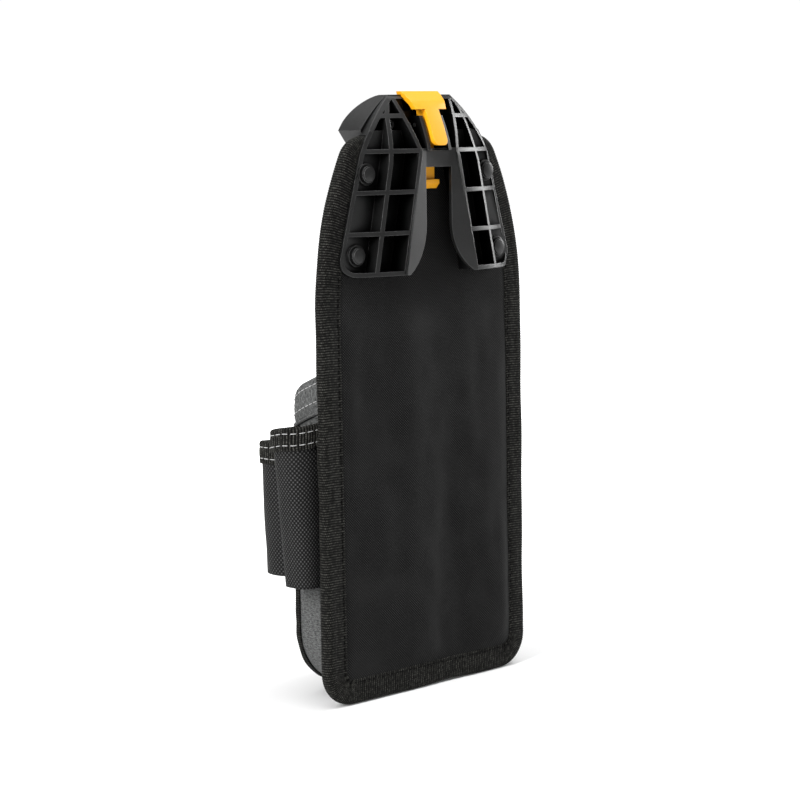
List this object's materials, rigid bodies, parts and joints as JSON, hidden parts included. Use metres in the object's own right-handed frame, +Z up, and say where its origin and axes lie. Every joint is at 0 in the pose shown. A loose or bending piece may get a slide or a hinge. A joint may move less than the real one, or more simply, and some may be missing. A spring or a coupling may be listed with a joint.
{
  "type": "electrician tool pouch",
  "caption": "Flat padded tool pouch with a sewn front pocket, side tool sleeves and a riveted clip that slides over a tapered belt hub and latches.",
  "frame": {"origin": "centre of the back panel's bottom edge, midway through its thickness", "axes": "+Z up the pouch, +Y towards the wearer, pockets face -Y, tool sleeves on the +X side"},
  "size_m": [0.1823, 0.0927, 0.3588],
  "materials": {
    "back_cloth": "fine plain weave, matt",
    "foam": "closed-cell foam sheet",
    "board": "plain sheet",
    "ballistic_cloth": "coarse basket weave, slight sheen",
    "binding_tape": "ribbed woven tape",
    "webbing": "ribbed webbing with two rows of light stitches",
    "grey_canvas": "heather grey canvas",
    "piping": "corded edge",
    "thread": "dense zigzag stitching",
    "clip_plastic": "fine moulded texture",
    "latch_plastic": "smooth moulded, slight sheen",
    "dark_steel": "black zinc",
    "bright_steel": "plain",
    "spring_steel": "drawn wire"
  },
  "bodies": {
    "pouch": {"rear_fabric": "back_cloth", "foam_pad": "foam", "stiffener_board": "board", "front_fabric": "ballistic_cloth", "edge_binding": "binding_tape", "clip_plate": "clip_plastic", "clip_cover": "clip_plastic", "cover_screws": "dark_steel", "rivets": "clip_plastic", "rivet_washers": "bright_steel", "latch_pin": "bright_steel", "latch_spring": "spring_steel", "pocket_gusset": "grey_canvas", "gusset_hems": "grey_canvas", "hem_piping": "piping", "pocket_front": "grey_canvas", "seam_binding": "binding_tape", "pocket_front_trim": "webbing", "side_sleeve": "ballistic_cloth", "side_sleeve_trim": "webbing", "corner_sleeve": "ballistic_cloth", "corner_sleeve_trim": "webbing", "outer_pocket": "ballistic_cloth", "outer_pocket_trim": "webbing", "pen_sleeve": "ballistic_cloth", "pen_sleeve_trim": "webbing", "bar_tacks": "thread"},
    "latch": {"latch_lever": "latch_plastic"}
  },
  "joints": [
    {"name": "latch_tilt", "type": "hinge", "parent": "pouch", "child": "latch", "pos_m": [0, 0.0064, 0.339], "axis": [-1, 0, 0], "range_deg": [0, 3.6], "stiffness_Nm_per_rad": 0.2, "deforming": ["latch_spring"]}
  ]
}
